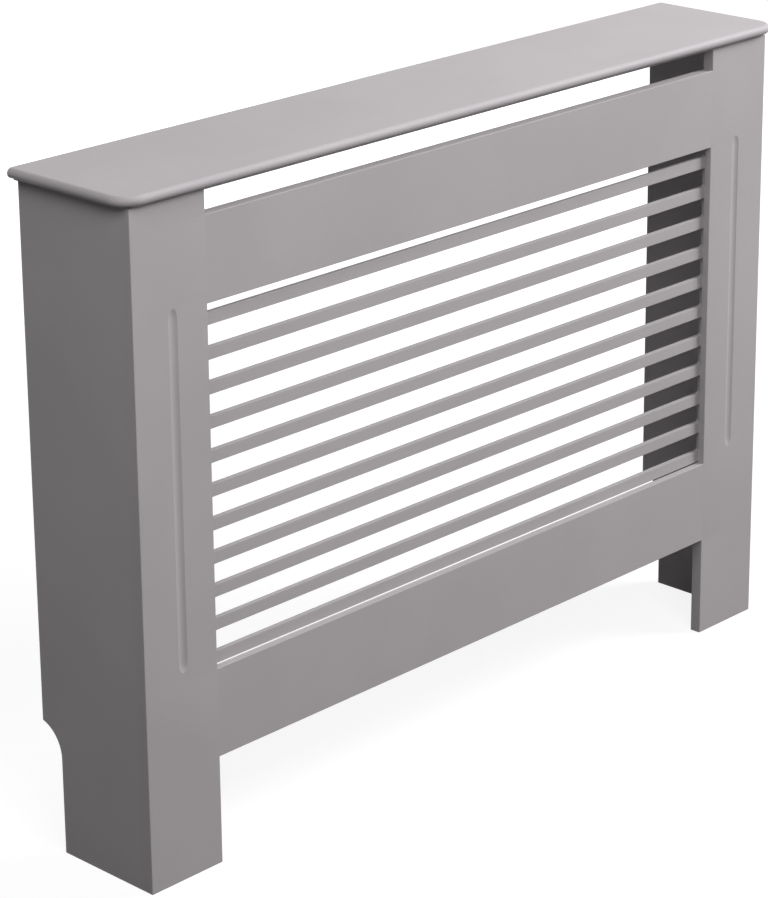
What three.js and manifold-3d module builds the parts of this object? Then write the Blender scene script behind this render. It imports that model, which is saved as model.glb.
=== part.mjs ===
// A flat-pack radiator cover: lid, two side panels, a slatted front, and the fittings that hold them together.
// Millimetres. +Z is up, the front faces -Y, and the origin is at the middle of the floor under the cover.
import * as THREE from "three";
import { mergeVertices } from "three/addons/utils/BufferGeometryUtils.js";
import Module from "manifold-3d";

// ---- Driving dimensions ----

const overallWidth = 1120;
const overallDepth = 190;
const overallHeight = 815;

// Lid: a half-round nose over a small cove, on the front and both sides.
const lidThickness = 15;
const sideOverhang = 14;
const frontOverhang = 10;
const noseRadius = 6;
const lidCornerRadius = 28;

// Side panels, with a cut-out at the lower back for the skirting board.
const sideThickness = 12;
const skirtingDepth = 31;
const skirtingStraight = 119;
const skirtingRadius = 40;

// Front frame.
const frameThickness = 15;
const stileWidth = 108;
const topSlotHeight = 28;
const topRailHeight = 100.5;
const bottomRailHeight = 108.5;
const footHeight = 133;

// Routed groove on each stile, from the foot of the grille opening to a little above its head.
const grooveInset = 57;
const grooveWidth = 13;
const grooveDepth = 2.2;
const grooveRunOut = 24;
const grooveHeadRise = 18;

// Slatted grille, one sheet let into the back of the frame.
const grilleThickness = 6;
const slatHeight = 15;
const slotHeight = 25;
const slotEndRadius = 3;
const grilleBorder = 12;
const grilleSideBorder = 17;
const grilleDrop = 6;
const grilleClearance = 0.5;

// Cam locks and the bolts that they draw in.
const camReach = 24;
const camAxisDepth = 6;
const lockRadius = 6;
const lockHeight = 9.8;
const boltThreadRadius = 2.5;
const boltThreadLength = 10;
const boltCollarRadius = 3.4;
const boltCollarLength = 2.5;
const boltShankRadius = 2.6;
const boltNeckRadius = 1.9;
const boltHeadRadius = 3.1;
const boltHeadLength = 2.6;
const sideCamInset = 110;
const lidCamInset = 45;

// Wooden dowels.
const dowelRadius = 3;
const dowelLength = 30;
const dowelFaceDepth = 10;
const dowelChamfer = 0.8;
const railDowelSpacing = 48;
const sideDowelInset = 50;
const lidDowelInset = 20;

// Pan-head screws for the grille and the brackets.
const screwRadius = 1.5;
const screwHeadRadius = 3;
const screwHeadHeight = 1.8;
const grilleScrewLength = 12;
const bracketScrewLength = 10;
const grilleScrewInset = 30;

// Angle brackets to the wall.
const bracketLeg = 25;
const bracketWidth = 20;
const bracketGauge = 2;
const bracketBend = 3;
const bracketDrop = 150;
const bracketHoleRadius = 2.2;

// Room round a fitting in its hole, and the spare depth past its end.
const fitClearance = 0.15;
const spareDepth = 0.5;

// ---- Planes that the boards share ----

const bodyHalf = overallWidth / 2 - sideOverhang;
const sideInner = bodyHalf - sideThickness;
const backY = overallDepth / 2;
const frontY = -backY + frontOverhang;
const frameBack = frontY + frameThickness;
const lidUnderside = overallHeight - lidThickness;
const topRailTop = lidUnderside - topSlotHeight;
const openingTop = topRailTop - topRailHeight;
const openingBottom = footHeight + bottomRailHeight;
const openingHalf = bodyHalf - stileWidth;
const grilleFront = frameBack - grilleThickness;

const slotPitch = slatHeight + slotHeight;
const slotCount = Math.ceil((openingTop - openingBottom) / slotPitch) + 1;
const slotHalf = openingHalf + slotEndRadius;
const grilleHalf = slotHalf + grilleSideBorder;
const grilleMiddle = (openingTop + openingBottom) / 2 - grilleDrop;
const patternHeight = slotCount * slotPitch - slatHeight;
const grilleBottom = grilleMiddle - patternHeight / 2 - grilleBorder;
const grilleTop = grilleMiddle + patternHeight / 2 + grilleBorder;

const hands = [
  { name: "left", sign: -1 },
  { name: "right", sign: 1 },
];

// ---- Fineness of the round forms ----

const boardArcSteps = 4;
const cornerSteps = 8;
const noseSteps = 8;
const coveSteps = 3;
const grooveSides = 32;
const grooveEndSteps = 6;
const fittingSides = 12;
const lockSides = 16;

// ---- Materials ----

const paint = new THREE.MeshStandardMaterial({ color: 0xa8a4a7, roughness: 0.55, metalness: 0 });
const castZinc = new THREE.MeshStandardMaterial({ color: 0xb4b6b8, roughness: 0.45, metalness: 1 });
const platedSteel = new THREE.MeshStandardMaterial({ color: 0xc3c4c2, roughness: 0.35, metalness: 1 });
const beech = new THREE.MeshStandardMaterial({ color: 0xc9a071, roughness: 0.8, metalness: 0 });

// ---- Solids ----

const wasm = await Module();
wasm.setup();

const weldDistance = 1e-4;

// A closed geometry as a solid that can be joined and cut.
function solidOf(geometry) {
  const bare = geometry.clone();
  bare.deleteAttribute("normal");
  bare.deleteAttribute("uv");
  const welded = mergeVertices(bare, weldDistance);
  return new wasm.Manifold(
    new wasm.Mesh({
      numProp: 3,
      vertProperties: welded.attributes.position.array,
      triVerts: new Uint32Array(welded.index.array),
    }),
  );
}

// A solid as a geometry with flat faces.
function geometryOf(solid) {
  const { vertProperties, triVerts } = solid.getMesh();
  const shared = new THREE.BufferGeometry();
  shared.setAttribute("position", new THREE.BufferAttribute(vertProperties, 3));
  shared.setIndex(new THREE.BufferAttribute(triVerts, 1));
  const flat = shared.toNonIndexed();
  flat.computeVertexNormals();
  return flat;
}

function without(geometry, cutters) {
  return geometryOf(cutters.reduce((solid, cutter) => solid.subtract(solidOf(cutter)), solidOf(geometry)));
}

// An outline drawn in Y and Z, carried from one X to another.
function prismAlongX(outline, from, to) {
  const body = new THREE.ExtrudeGeometry(outline, { depth: 1, bevelEnabled: false, curveSegments: boardArcSteps });
  const corner = body.attributes.position;
  for (let i = 0; i < corner.count; i++) {
    corner.setXYZ(i, corner.getZ(i) > 0.5 ? to : from, corner.getX(i), corner.getY(i));
  }
  return body;
}

// An outline drawn in X and Z, carried from one Y to another.
function prismAlongY(outline, from, to) {
  const body = new THREE.ExtrudeGeometry(outline, { depth: 1, bevelEnabled: false, curveSegments: boardArcSteps });
  const corner = body.attributes.position;
  for (let i = 0; i < corner.count; i++) {
    corner.setXYZ(i, corner.getX(i), corner.getZ(i) > 0.5 ? from : to, corner.getY(i));
  }
  return body;
}

function rectangle(left, right, bottom, top) {
  return new THREE.Shape()
    .moveTo(left, bottom)
    .lineTo(right, bottom)
    .lineTo(right, top)
    .lineTo(left, top)
    .closePath();
}

// Rings of equally many points, from the lowest to the highest, closed with a cap at each end.
function loft(rings) {
  const count = rings[0].length;
  const points = rings.flat();
  const triangles = [];
  for (let level = 0; level + 1 < rings.length; level++) {
    for (let i = 0; i < count; i++) {
      const a = level * count + i;
      const b = level * count + ((i + 1) % count);
      triangles.push(a, b, b + count, a, b + count, a + count);
    }
  }
  const flatRing = (ring) => ring.map((point) => new THREE.Vector2(point.x, point.y));
  const last = (rings.length - 1) * count;
  for (const [a, b, c] of THREE.ShapeUtils.triangulateShape(flatRing(rings[0]), [])) {
    triangles.push(c, b, a);
  }
  for (const [a, b, c] of THREE.ShapeUtils.triangulateShape(flatRing(rings.at(-1)), [])) {
    triangles.push(last + a, last + b, last + c);
  }
  const body = new THREE.BufferGeometry().setFromPoints(points);
  body.setIndex(triangles);
  return body;
}

// A round form about +Y, from pairs of radius and height that start and end on the axis.
function turned(profile, sides) {
  return new THREE.LatheGeometry(
    profile.map(([radius, height]) => new THREE.Vector2(radius, height)),
    sides,
  );
}

// A straight hole's cutter: it starts a little outside the face, so that the mouth is clean.
function bore(radius, depth, sides = fittingSides) {
  const mouth = -1;
  return turned([[0, mouth], [radius, mouth], [radius, depth], [0, depth]], sides);
}

// The place of a form that is drawn upright at the origin: its +Y goes along, its +X goes across.
function placeOf(foot, along, across = new THREE.Vector3(along.y, along.z, along.x)) {
  const third = new THREE.Vector3().crossVectors(across, along);
  return new THREE.Matrix4().makeBasis(across, along, third).setPosition(foot);
}

const towards = (x, y, z) => new THREE.Vector3(x, y, z);
const stepFrom = (point, direction, distance) => point.clone().addScaledVector(direction, distance);

// ---- The part, and the cuts that fittings make in the boards ----

const cover = new THREE.Group();
const cuts = {
  lid: [],
  left_side_panel: [],
  right_side_panel: [],
  left_stile: [],
  right_stile: [],
  top_rail: [],
  bottom_rail: [],
  slatted_grille: [],
  left_wall_bracket: [],
  right_wall_bracket: [],
};

function addPiece(name, geometry, material, place = new THREE.Matrix4()) {
  const piece = new THREE.Mesh(geometry, material);
  piece.name = name;
  piece.applyMatrix4(place);
  cover.add(piece);
}

function cut(board, cutter, place = new THREE.Matrix4()) {
  cuts[board].push(cutter.clone().applyMatrix4(place));
}

// ---- Cam fittings ----

const boltProfile = [
  [0, -boltThreadLength],
  [boltThreadRadius, -boltThreadLength],
  [boltThreadRadius, 0],
  [boltCollarRadius, 0],
  [boltCollarRadius, boltCollarLength],
  [boltShankRadius, boltCollarLength],
  [boltShankRadius, camReach - boltHeadLength * 1.5],
  [boltNeckRadius, camReach - boltHeadLength],
  [boltNeckRadius, camReach - boltHeadLength / 2],
  [boltHeadRadius, camReach - boltHeadLength / 2],
  [boltHeadRadius, camReach + boltHeadLength / 2],
  [0, camReach + boltHeadLength / 2],
];
const boltForm = turned(boltProfile, fittingSides);
const boltThreadHole = bore(boltThreadRadius + fitClearance, boltThreadLength + spareDepth);
const boltShankHole = bore(boltCollarRadius + fitClearance, camReach);
const lockHole = bore(lockRadius + fitClearance, lockHeight + fitClearance, lockSides);

// The lock is drawn with its face at the origin and its foot at lockHeight; the bolt comes in from -X.
const lockChannel = turned(
  [
    [0, -lockRadius * 2],
    [boltHeadRadius + fitClearance, -lockRadius * 2],
    [boltHeadRadius + fitClearance, boltHeadLength / 2 + spareDepth],
    [0, boltHeadLength / 2 + spareDepth],
  ],
  fittingSides,
).applyMatrix4(placeOf(towards(0, camAxisDepth, 0), towards(1, 0, 0)));
const lockForm = without(
  turned([[0, 0], [lockRadius, 0], [lockRadius, lockHeight], [0, lockHeight]], lockSides),
  [lockChannel],
);

// A bolt screwed into threadBoard at a point of the joint, and the lock that draws it into lockBoard.
function addCam(name, point, into, threadBoard, lockBoard, faceSide) {
  const boltPlace = placeOf(point, into);
  const threadPlace = placeOf(point, into.clone().negate());
  const lockFoot = stepFrom(stepFrom(point, into, camReach), faceSide, camAxisDepth);
  const lockPlace = placeOf(lockFoot, faceSide.clone().negate(), into);
  cut(threadBoard, boltThreadHole, threadPlace);
  cut(lockBoard, boltShankHole, boltPlace);
  cut(lockBoard, lockHole, lockPlace);
  addPiece(name + "_cam_bolt", boltForm, platedSteel, boltPlace);
  addPiece(name + "_cam_lock", lockForm, castZinc, lockPlace);
}

// ---- Dowels ----

const dowelForm = turned(
  [
    [0, 0],
    [dowelRadius - dowelChamfer, 0],
    [dowelRadius, dowelChamfer],
    [dowelRadius, dowelLength - dowelChamfer],
    [dowelRadius - dowelChamfer, dowelLength],
    [0, dowelLength],
  ],
  fittingSides,
);

// A dowel across a joint, sunk by nearDepth into nearBoard and for the rest of its length into farBoard.
function addDowel(name, point, into, nearBoard, nearDepth, farBoard) {
  const radius = dowelRadius + fitClearance;
  cut(nearBoard, bore(radius, nearDepth + spareDepth), placeOf(point, into.clone().negate()));
  cut(farBoard, bore(radius, dowelLength - nearDepth + spareDepth), placeOf(point, into));
  addPiece(name + "_dowel", dowelForm, beech, placeOf(stepFrom(point, into, -nearDepth), into));
}

// ---- Screws ----

// Drawn with the seat of its head at the origin and its point at length.
function screwForm(length) {
  const pointLength = screwRadius * 2;
  return turned(
    [
      [0, -screwHeadHeight],
      [screwHeadRadius * 0.6, -screwHeadHeight],
      [screwHeadRadius * 0.9, -screwHeadHeight * 0.6],
      [screwHeadRadius, 0],
      [screwRadius, 0],
      [screwRadius, length - pointLength],
      [0, length],
    ],
    fittingSides,
  );
}

// A screw through a thin piece into a board.
function addScrew(name, seat, into, length, thinPiece, thickness, board) {
  const place = placeOf(seat, into);
  const deep = length + spareDepth;
  cut(thinPiece, bore(screwRadius + fitClearance, thickness + spareDepth), place);
  cut(board, bore(screwRadius + fitClearance, deep - thickness), placeOf(stepFrom(seat, into, thickness), into));
  addPiece(name, screwForm(length), platedSteel, place);
}

// ---- Where the fittings go ----

const dowelHalf = dowelLength / 2;
const frameMiddle = frontY + frameThickness / 2;
const topRailPlain = (grilleTop + topRailTop) / 2;
const bottomRailPlain = (footHeight + grilleBottom) / 2;

for (const { name: hand, sign } of hands) {
  const stile = hand + "_stile";
  const sidePanel = hand + "_side_panel";
  const inward = towards(-sign, 0, 0);
  const backward = towards(0, 1, 0);
  const downward = towards(0, 0, -1);

  // Rails to stiles: the rail's end is at the stile's inner edge, and the lock goes in from behind.
  for (const [rail, middle] of [["top_rail", topRailPlain], ["bottom_rail", bottomRailPlain]]) {
    const joint = sign * openingHalf;
    const railName = hand + "_" + rail;
    addCam(railName, towards(joint, frameBack - camAxisDepth, middle), inward, stile, rail, backward);
    for (const [level, step] of [["upper", 0.5], ["lower", -0.5]]) {
      const height = middle + step * railDowelSpacing;
      addDowel(railName + "_" + level, towards(joint, frameMiddle, height), inward, stile, dowelHalf, rail);
    }
  }

  // Stiles to side panels: the fittings lie in the middle of the side panel's front edge.
  const edgeX = sign * (sideInner + camAxisDepth);
  const dowelX = sign * (sideInner + sideThickness / 2);
  for (const [level, camHeight, dowelHeight] of [
    ["upper", lidUnderside - sideCamInset, lidUnderside - sideDowelInset],
    ["lower", sideCamInset, sideDowelInset],
  ]) {
    const sideName = hand + "_side_" + level;
    addCam(sideName, towards(edgeX, frameBack, camHeight), backward, stile, sidePanel, inward);
    addDowel(sideName, towards(dowelX, frameBack, dowelHeight), backward, stile, dowelFaceDepth, sidePanel);
  }

  // Lid to side panels: the same fittings, upright.
  for (const [level, camY, dowelY] of [
    ["front", frameBack + lidCamInset, frameBack + lidDowelInset],
    ["rear", backY - lidCamInset, backY - lidDowelInset],
  ]) {
    const lidName = hand + "_lid_" + level;
    addCam(lidName, towards(edgeX, camY, lidUnderside), downward, "lid", sidePanel, inward);
    addDowel(lidName, towards(dowelX, dowelY, lidUnderside), downward, "lid", dowelFaceDepth, sidePanel);
  }

  // Grille to stiles: three screws down each side border.
  const screwX = sign * (slotHalf + grilleSideBorder / 2);
  for (const [level, height] of [
    ["upper", grilleTop - grilleScrewInset],
    ["middle", grilleMiddle],
    ["lower", grilleBottom + grilleScrewInset],
  ]) {
    const seat = towards(screwX, frameBack, height);
    const screwName = hand + "_grille_" + level + "_screw";
    addScrew(screwName, seat, towards(0, -1, 0), grilleScrewLength, "slatted_grille", grilleThickness, stile);
  }

  // Wall bracket: an angle on the side panel's inner face, flush with its back edge.
  const bracket = hand + "_wall_bracket";
  const bracketMiddle = lidUnderside - bracketDrop;
  const legMiddle = (bracketLeg + bracketGauge) / 2;
  const bracketFace = sideInner - bracketGauge;
  const screwSeat = towards(sign * bracketFace, backY - legMiddle, bracketMiddle);
  addScrew(hand + "_bracket_screw", screwSeat, towards(sign, 0, 0), bracketScrewLength, bracket, bracketGauge, sidePanel);
  const wallHole = bore(bracketHoleRadius, bracketGauge + spareDepth);
  cut(bracket, wallHole, placeOf(towards(sign * (sideInner - legMiddle), backY, bracketMiddle), towards(0, -1, 0)));
}

// Grille to rails: one screw in the middle of the upper and lower border.
for (const [rail, height] of [
  ["top_rail", grilleTop - grilleBorder / 2],
  ["bottom_rail", grilleBottom + grilleBorder / 2],
]) {
  const seat = towards(0, frameBack, height);
  const screwName = "grille_" + rail + "_screw";
  addScrew(screwName, seat, towards(0, -1, 0), grilleScrewLength, "slatted_grille", grilleThickness, rail);
}

// ---- Boards ----

// The lid's outline at one height: straight at the back, drawn in by inset on the other three sides.
function lidRing(inset, height) {
  const half = overallWidth / 2 - inset;
  const front = -backY + inset;
  const radius = lidCornerRadius - inset;
  const ring = [towards(-half, backY, height)];
  for (let i = 0; i <= cornerSteps; i++) {
    const turn = (i / cornerSteps) * (Math.PI / 2);
    ring.push(towards(-half + radius * (1 - Math.cos(turn)), front + radius * (1 - Math.sin(turn)), height));
  }
  const mirrored = ring.map((point) => towards(-point.x, point.y, height)).reverse();
  return ring.concat(mirrored);
}

// The edge from the underside up: a cove, then the half-round nose.
function lidGeometry() {
  const coveRadius = lidThickness - 2 * noseRadius;
  const noseMiddle = overallHeight - noseRadius;
  const rings = [];
  for (let i = 0; i <= coveSteps; i++) {
    const turn = (i / coveSteps) * (Math.PI / 2);
    const inset = noseRadius + coveRadius * Math.cos(turn);
    rings.push(lidRing(inset, lidUnderside + coveRadius * Math.sin(turn)));
  }
  for (let i = 1; i <= noseSteps; i++) {
    const turn = (i / noseSteps) * Math.PI;
    const inset = noseRadius * (1 - Math.sin(turn));
    rings.push(lidRing(inset, i === noseSteps ? overallHeight : noseMiddle - noseRadius * Math.cos(turn)));
  }
  return loft(rings);
}

// A side panel's outline in Y and Z; the cut-out's rounded top ends on the back edge.
function sideOutline() {
  const notchFront = backY - skirtingDepth;
  const arcMiddle = notchFront + skirtingRadius;
  const endAngle = Math.max(Math.acos((skirtingDepth - skirtingRadius) / skirtingRadius), Math.PI / 2);
  const arcTop = skirtingStraight + skirtingRadius * Math.sin(endAngle);
  return new THREE.Shape()
    .moveTo(frameBack, 0)
    .lineTo(notchFront, 0)
    .lineTo(notchFront, skirtingStraight)
    .absarc(arcMiddle, skirtingStraight, skirtingRadius, Math.PI, endAngle, true)
    .lineTo(backY, arcTop)
    .lineTo(backY, lidUnderside)
    .lineTo(frameBack, lidUnderside)
    .closePath();
}

// The rebate behind the frame that the grille lies in, drawn past the back face for a clean cut.
const grilleRebate = prismAlongY(
  rectangle(
    -grilleHalf - grilleClearance,
    grilleHalf + grilleClearance,
    grilleBottom - grilleClearance,
    grilleTop + grilleClearance,
  ),
  grilleFront,
  frameBack + 1,
);

// The router's cut down a stile: a long round form, sunk so that only grooveDepth of it bites.
function grooveCutter(middleX) {
  const radius = (grooveWidth ** 2 / 4 + grooveDepth ** 2) / (2 * grooveDepth);
  const bottom = openingBottom;
  const top = openingTop + grooveHeadRise;
  const profile = [];
  for (let i = 0; i <= grooveEndSteps; i++) {
    const turn = (i / grooveEndSteps) * (Math.PI / 2);
    profile.push([radius * Math.sin(turn), bottom + grooveRunOut * (1 - Math.cos(turn))]);
  }
  for (let i = grooveEndSteps; i >= 0; i--) {
    const turn = (i / grooveEndSteps) * (Math.PI / 2);
    profile.push([radius * Math.sin(turn), top - grooveRunOut * (1 - Math.cos(turn))]);
  }
  const foot = towards(middleX, frontY + grooveDepth - radius, 0);
  return turned(profile, grooveSides).applyMatrix4(placeOf(foot, towards(0, 0, 1)));
}

// The grille sheet: slots with rounded ends, which run on behind the stiles by the radius of their ends.
function grilleOutline() {
  const sheet = rectangle(-grilleHalf, grilleHalf, grilleBottom, grilleTop);
  for (let i = 0; i < slotCount; i++) {
    const bottom = grilleBottom + grilleBorder + i * slotPitch;
    const top = bottom + slotHeight;
    const radius = slotEndRadius;
    const slot = new THREE.Path()
      .moveTo(-slotHalf, bottom + radius)
      .lineTo(-slotHalf, top - radius)
      .absarc(-slotHalf + radius, top - radius, radius, Math.PI, Math.PI / 2, true)
      .lineTo(slotHalf - radius, top)
      .absarc(slotHalf - radius, top - radius, radius, Math.PI / 2, 0, true)
      .lineTo(slotHalf, bottom + radius)
      .absarc(slotHalf - radius, bottom + radius, radius, 0, -Math.PI / 2, true)
      .lineTo(-slotHalf + radius, bottom)
      .absarc(-slotHalf + radius, bottom + radius, radius, -Math.PI / 2, -Math.PI, true);
    sheet.holes.push(slot);
  }
  return sheet;
}

// An angle of even gauge, seen from above, with its outer corner at the origin and a rounded bend.
function bracketOutline() {
  const inner = bracketBend - bracketGauge;
  return new THREE.Shape()
    .moveTo(0, bracketBend)
    .absarc(bracketBend, bracketBend, bracketBend, Math.PI, Math.PI * 1.5, false)
    .lineTo(bracketLeg, 0)
    .lineTo(bracketLeg, bracketGauge)
    .lineTo(bracketBend, bracketGauge)
    .absarc(bracketBend, bracketBend, inner, Math.PI * 1.5, Math.PI, true)
    .lineTo(bracketGauge, bracketLeg)
    .lineTo(0, bracketLeg)
    .closePath();
}

// The bracket in place: one leg on the side panel's inner face, the other flush with the back of the cover.
function bracketGeometry(sign) {
  const bottom = lidUnderside - bracketDrop - bracketWidth / 2;
  const body = new THREE.ExtrudeGeometry(bracketOutline(), {
    depth: bracketWidth,
    bevelEnabled: false,
    curveSegments: boardArcSteps,
  });
  const corner = body.attributes.position;
  for (let i = 0; i < corner.count; i++) {
    const across = corner.getX(i);
    const deep = corner.getY(i);
    corner.setXYZ(i, sign * (sideInner - across), backY - deep, bottom + corner.getZ(i));
  }
  return sign < 0 ? turnedInsideOut(body) : body;
}

// A mirrored form with its faces pointing out again.
function turnedInsideOut(geometry) {
  const corner = geometry.attributes.position;
  const [first, second] = [new THREE.Vector3(), new THREE.Vector3()];
  for (let i = 0; i < corner.count; i += 3) {
    first.fromBufferAttribute(corner, i + 1);
    second.fromBufferAttribute(corner, i + 2);
    corner.setXYZ(i + 1, second.x, second.y, second.z);
    corner.setXYZ(i + 2, first.x, first.y, first.z);
  }
  return geometry;
}

function addBoard(name, geometry, material = paint) {
  addPiece(name, without(geometry, cuts[name]), material);
}

addBoard("lid", lidGeometry());

for (const { name: hand, sign } of hands) {
  const [inner, outer] = [sign * sideInner, sign * bodyHalf];
  addBoard(hand + "_side_panel", prismAlongX(sideOutline(), Math.min(inner, outer), Math.max(inner, outer)));

  const opening = sign * openingHalf;
  const stileFace = rectangle(Math.min(opening, outer), Math.max(opening, outer), 0, lidUnderside);
  cut(hand + "_stile", grilleRebate);
  cut(hand + "_stile", grooveCutter(sign * (bodyHalf - grooveInset)));
  addBoard(hand + "_stile", prismAlongY(stileFace, frontY, frameBack));

  addBoard(hand + "_wall_bracket", bracketGeometry(sign), platedSteel);
}

for (const [name, bottom, top] of [
  ["top_rail", openingTop, topRailTop],
  ["bottom_rail", footHeight, openingBottom],
]) {
  cut(name, grilleRebate);
  addBoard(name, prismAlongY(rectangle(-openingHalf, openingHalf, bottom, top), frontY, frameBack));
}

addBoard("slatted_grille", prismAlongY(grilleOutline(), grilleFront, frameBack));

export default cover;
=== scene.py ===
import math
from contextlib import contextmanager

import bmesh
import bpy
from mathutils import Matrix, Vector


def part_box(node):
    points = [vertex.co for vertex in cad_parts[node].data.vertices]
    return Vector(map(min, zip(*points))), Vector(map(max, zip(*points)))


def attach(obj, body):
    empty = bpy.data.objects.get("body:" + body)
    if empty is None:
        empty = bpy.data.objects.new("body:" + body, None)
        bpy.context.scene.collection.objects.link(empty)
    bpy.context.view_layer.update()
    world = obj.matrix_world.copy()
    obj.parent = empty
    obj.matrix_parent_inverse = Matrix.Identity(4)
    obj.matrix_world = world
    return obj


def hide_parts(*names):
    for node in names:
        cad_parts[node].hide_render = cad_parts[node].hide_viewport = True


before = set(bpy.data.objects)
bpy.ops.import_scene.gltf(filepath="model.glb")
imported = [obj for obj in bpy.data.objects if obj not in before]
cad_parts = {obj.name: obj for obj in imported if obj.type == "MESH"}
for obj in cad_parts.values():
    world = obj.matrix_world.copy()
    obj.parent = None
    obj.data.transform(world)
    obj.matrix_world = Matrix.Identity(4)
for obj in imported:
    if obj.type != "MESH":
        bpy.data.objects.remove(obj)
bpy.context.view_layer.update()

# A radiator cover in grey satin paint. The boards stand round an open back, and all the rest is fittings.
# Metres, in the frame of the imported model: the front faces -Y and the left hand is at -X.

MM = 0.001

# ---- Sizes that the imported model's boxes don't give ----

ARRIS = 0.8 * MM
ARRIS_STEPS = 3
SHARP_ANGLE = math.radians(60)
SMOOTH_ANGLE = math.radians(38)
FLAT_ANGLE = math.radians(1)
SQUARE_ON = 0.99  # the least share of a normal along an axis that its face is square to
SAME_PLACE = 0.02 * MM
MERGE_ROOM = 0.002 * MM
CUT_ROOM = 0.001 * MM

NOSE_RADIUS = 6 * MM
NOSE_STEPS = 10
NOSE_SPARE = 0.01 * MM  # half of the narrow flat that is left along the middle of the nosing
LID_MERGE_ROOM = 0.015 * MM
LID_CORNER_RADIUS = 28 * MM
LID_CORNER_STEPS = 16
COVE_STEPS = 5

SKIRTING_DEPTH = 31 * MM
SKIRTING_STRAIGHT = 119 * MM
SKIRTING_RADIUS = 40 * MM
SKIRTING_STEPS = 28

GROOVE_INSET = 57 * MM
GROOVE_WIDTH = 13 * MM
GROOVE_DEPTH = 1.8 * MM
GROOVE_RUN_OUT = 24 * MM
GROOVE_HEAD_RISE = 18 * MM
GROOVE_SIDES = 96
GROOVE_END_STEPS = 14
GROOVE_RIM = 0.8 * MM
GROOVE_RIM_STEPS = 3

SLOT_HEIGHT = 25 * MM
SLAT_HEIGHT = 15 * MM
SLOT_END_RADIUS = 3 * MM
SLOT_END_STEPS = 6
SLOT_SIDE_BORDER = 17 * MM
REBATE_ROOM = 0.5 * MM
GRILLE_ARRIS = 0.5 * MM

FIT_ROOM = 0.15 * MM
SPARE_DEPTH = 0.5 * MM
MOUTH = 1 * MM
HOLE_SIDES = 32

# A thread starts a little more than a turn below its foot, so that no cut passes through a corner of it.
THREAD_SIDES = 24
THREAD_LEAD = 0.3  # that little more, in sides
THREAD_CREST = (0.42, 0.58)  # where the crest begins and ends, in pitches
CORE_SHARE = 0.98  # the plain core hides just inside the threaded one

BOLT_SIDES = 36
BOLT_THREAD_LENGTH = 10 * MM
BOLT_THREAD_RADIUS = 2.5 * MM
BOLT_THREAD_GAP = 0.2 * MM
BOLT_CORE_RADIUS = 1.75 * MM
BOLT_PITCH = 1.6 * MM
BOLT_COLLAR_RADIUS = 3.4 * MM
BOLT_COLLAR_LENGTH = 2.5 * MM
BOLT_COLLAR_CHAMFER = 0.3 * MM
BOLT_SHANK_RADIUS = 2.6 * MM
BOLT_NECK_RADIUS = 1.9 * MM
BOLT_HEAD_RADIUS = 3.1 * MM
BOLT_HEAD_LENGTH = 2.6 * MM
BOLT_HEAD_ROUNDING = BOLT_HEAD_LENGTH * 0.25
CAM_REACH = 24 * MM

LOCK_SIDES = 64
LOCK_RADIUS = 6 * MM
LOCK_RIM = 0.5 * MM
LOCK_AXIS_DEPTH = 6 * MM
LOCK_SLOT_WIDTH = 1.3 * MM
LOCK_SLOT_SPAN = 7.5 * MM
LOCK_SLOT_DEPTH = 2.6 * MM
LOCK_SLOT_TAPER = 0.8
CHANNEL_SIDES = 40

DOWEL_RADIUS = 3 * MM
DOWEL_CHAMFER = 0.8 * MM
DOWEL_FLUTES = 16
FLUTE_SIDES = 4
FLUTE_DEPTH = 0.28 * MM

SCREW_SIDES = 36
SCREW_RADIUS = 1.5 * MM
SCREW_CORE_RADIUS = 1.0 * MM
SCREW_PITCH = 1.1 * MM
SCREW_POINT = SCREW_RADIUS * 2
SCREW_POINT_BARE = 0.8  # the share of the point that has no thread
SCREW_THREAD_TOP = 1.3 * MM
SCREW_NECK_FOOT = 1.2 * MM
SCREW_NECK_TOP = 0.8 * MM
SCREW_NECK_RADIUS = SCREW_RADIUS * 0.92
SCREW_HEAD_RADIUS = 3 * MM
SCREW_HEAD_HEIGHT = 1.8 * MM
SCREW_HEAD_SHAPE = ((1, 0), (1, 0.35), (0.93, 0.65), (0.78, 0.88), (0.5, 1), (0, 1))  # radius and height
SCREW_TURN = 0.35  # radians for each letter of a screw's name, so that the recesses stand at odds
RECESS_SPAN = 3.4 * MM
RECESS_WIDTH = 0.75 * MM
RECESS_DEPTH = 1.2 * MM
RECESS_TAPER = 0.55

BRACKET_GAUGE = 2 * MM
BRACKET_BEND = 3 * MM
BRACKET_BEND_STEPS = 8
BRACKET_INNER_STEPS = 6
BRACKET_CORNER_RADIUS = 3 * MM
BRACKET_CORNER_STEPS = 6
BRACKET_ARRIS = 0.25 * MM
BRACKET_ARRIS_STEPS = 2
BRACKET_HOLE_RADIUS = 2.2 * MM

# ---- Finishes: colours are linear, and a pattern's scale is about the number of its blots to the metre ----

NOISE_NARROW = (0.35, 0.65)
NOISE_WIDE = (0.3, 0.7)
NOISE_WHOLE = (0.25, 0.75)
EDGE_SAMPLES = 6

PAINT_LIGHT = (0.405, 0.382, 0.394, 1)
PAINT_DARK = (0.378, 0.356, 0.368, 1)
# The lighter paint along the edges: partly worn paint, partly a painted highlight where light would catch
# the arrises
PAINT_WEAR_AND_HIGHLIGHT = (0.47, 0.45, 0.46, 1)
PAINT_CLOUD = {"scale": 7, "detail": 4}
PAINT_CLOUD_SHARE = 0.7
PAINT_FLECK = {"scale": 420, "detail": 3, "roughness": 0.6}
PAINT_FLECK_SHARE = 0.3
PAINT_PATCHES = {"scale": 55, "detail": 3}
PAINT_PATCH_LIMITS = (0.42, 0.62)
PAINT_PEEL = {"scale": 520, "detail": 1.5}
PAINT_PEEL_BUMP = {"strength": 0.16, "distance": 0.06 * MM}
PAINT_ROUGHNESS = (0.48, 0.58)
PAINT_IOR = 1.45
PAINT_SPECULAR = 0.25
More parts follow.
